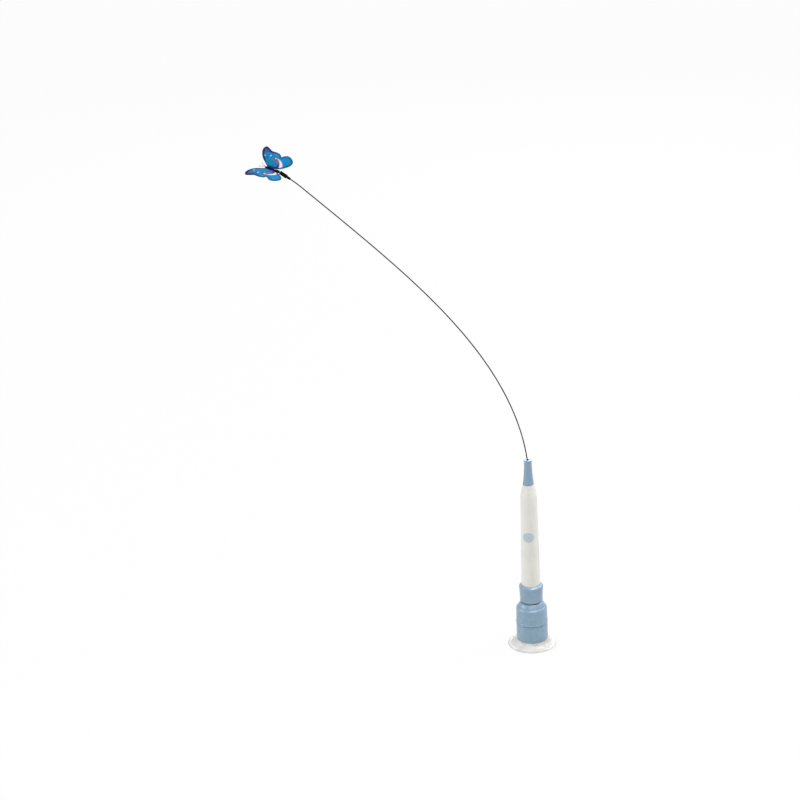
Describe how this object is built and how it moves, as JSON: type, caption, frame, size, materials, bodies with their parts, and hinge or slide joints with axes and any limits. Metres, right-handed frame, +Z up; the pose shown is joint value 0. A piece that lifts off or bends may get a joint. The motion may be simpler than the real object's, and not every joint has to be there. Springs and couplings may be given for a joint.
{
  "type": "butterfly cat toy",
  "caption": "Butterfly on a curved spring wire, with a slim handle that stands in a twist-lock suction foot.",
  "frame": {"origin": "centre of the suction cup's sealing face, on the floor", "axes": "+Z up along the foot and the handle; the wire arches towards -X in the XZ plane; +Y completes the right-handed set and is the shortest extent"},
  "size_m": [0.3467, 0.0616, 0.6437],
  "materials": {
    "soft_clear": "soft translucent vinyl",
    "blue_plastic": "satin moulded",
    "white_plastic": "satin moulded",
    "natural_plastic": "plain moulded",
    "steel": "drawn",
    "brass": "drawn tube",
    "black_plastic": "gloss",
    "navy_body": "matt",
    "wing_film": "printed film",
    "pink_filament": "thin filament"
  },
  "bodies": {
    "foot": {"suction_cup": "soft_clear", "base_ring": "blue_plastic"},
    "lift": {"lift_stem": "natural_plastic", "cross_pin": "steel"},
    "twist_head": {"twist_drum": "blue_plastic", "cam_ring": "natural_plastic", "socket_collar": "blue_plastic", "screw_washer": "steel", "socket_screw": "steel"},
    "wand": {"handle_shell": "white_plastic", "end_plug": "natural_plastic", "nose_cone": "blue_plastic", "wire_ferrule": "brass", "spring_wire": "steel"},
    "wire_tip": {"tip_sleeve": "black_plastic", "swivel_barrel": "black_plastic"},
    "butterfly": {"swivel_pin": "steel", "neck_bead": "black_plastic", "butterfly_body": "navy_body", "left_wing": "wing_film", "right_wing": "wing_film", "left_antenna": "pink_filament", "right_antenna": "pink_filament"}
  },
  "joints": [
    {"name": "foot_twist", "type": "hinge", "parent": "foot", "child": "twist_head", "pos_m": [0, 0, 0.0299], "axis": [0, 0, 1], "range_deg": [0, 90]},
    {"name": "cup_lift", "type": "slide", "parent": "foot", "child": "lift", "axis": [0, 0, 1], "range_m": [0, 0.0025], "deforming": ["suction_cup"]},
    {"name": "wand_lift", "type": "slide", "parent": "twist_head", "child": "wand", "axis": [0, 0, 1], "range_m": [0, 0.025]},
    {"name": "wire_bend", "type": "hinge", "parent": "wand", "child": "wire_tip", "pos_m": [-0.00084, 0, 0.24837], "axis": [0, 1, 0], "range_deg": [-20, 25], "stiffness_Nm_per_rad": 0.13, "springref_deg": 2.18, "deforming": ["spring_wire"]},
    {"name": "butterfly_turn", "type": "hinge", "parent": "wire_tip", "child": "butterfly", "pos_m": [-0.2767, 0, 0.62093], "axis": [-0.7949, 0, 0.6067], "continuous": true}
  ],
  "couplings": [
    {"joint": "cup_lift", "follows": "foot_twist", "m_per_rad": 0.0015915}
  ]
}
